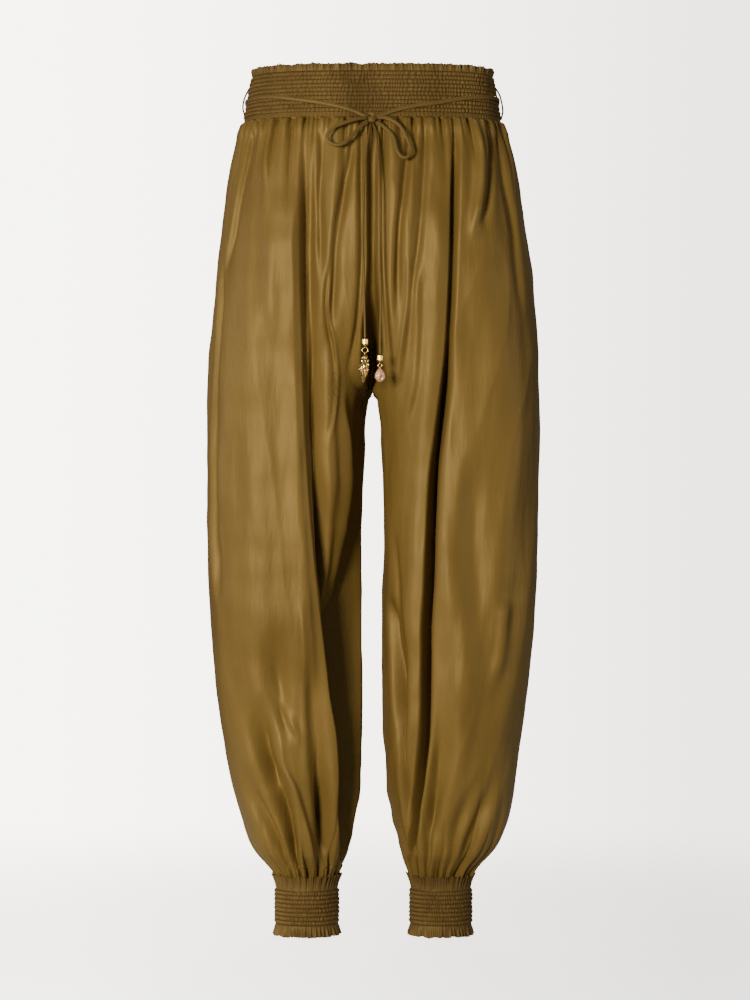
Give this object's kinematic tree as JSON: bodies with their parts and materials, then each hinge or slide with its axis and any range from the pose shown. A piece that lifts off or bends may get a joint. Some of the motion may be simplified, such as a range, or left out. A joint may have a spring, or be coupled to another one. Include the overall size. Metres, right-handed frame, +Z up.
{
  "type": "balloon pants",
  "caption": "Full-length satin balloon pants with a shirred waist, a bow tie with shell charms, and shirred ruffled cuffs, filled out and hollow.",
  "frame": {"origin": "centre of the waist opening at its top, where the wearer holds the garment", "axes": "+Z up out of the waist opening, -Y the front of the garment, +X to the right of somebody who looks at the front"},
  "size_m": [0.4002, 0.2502, 1.0423],
  "materials": {
    "satin": "soft olive-gold satin, smooth, with a broad sheen",
    "thread": "twisted dark thread",
    "gold_metal": "polished gold tone",
    "pink_shell": "glossy pink shell with a gold tone"
  },
  "bodies": {
    "root": {"leg_front_left": "satin", "leg_front_right": "satin", "leg_back_left": "satin", "leg_back_right": "satin", "waistband": "satin", "cuff_left": "satin", "cuff_right": "satin", "tie_round_waist": "satin", "tie_knot": "satin", "bow_loop_left": "satin", "bow_loop_right": "satin", "tail_left": "satin", "tail_right": "satin", "thread_carrier_left": "thread", "thread_carrier_right": "thread", "end_cap_a": "gold_metal", "end_cap_b": "gold_metal"},
    "ring_a": {"jump_ring_a": "gold_metal"},
    "charm_a": {"shell_charm_a": "gold_metal"},
    "ring_b": {"jump_ring_b": "gold_metal"},
    "charm_b": {"shell_charm_b": "pink_shell"}
  },
  "joints": [
    {"name": "ring_a_swing", "type": "hinge", "parent": "root", "child": "ring_a", "pos_m": [-0.0087, -0.126, -0.3377], "axis": [1, 0, 0], "range_deg": [-60, 30]},
    {"name": "charm_a_sway", "type": "hinge", "parent": "ring_a", "child": "charm_a", "pos_m": [-0.0087, -0.126, -0.341], "axis": [0, 1, 0], "range_deg": [-3, 30]},
    {"name": "ring_b_swing", "type": "hinge", "parent": "root", "child": "ring_b", "pos_m": [0.0089, -0.126, -0.3569], "axis": [1, 0, 0], "range_deg": [-60, 30]},
    {"name": "charm_b_sway", "type": "hinge", "parent": "ring_b", "child": "charm_b", "pos_m": [0.0089, -0.126, -0.3591], "axis": [0, 1, 0], "range_deg": [-30, 3]}
  ]
}
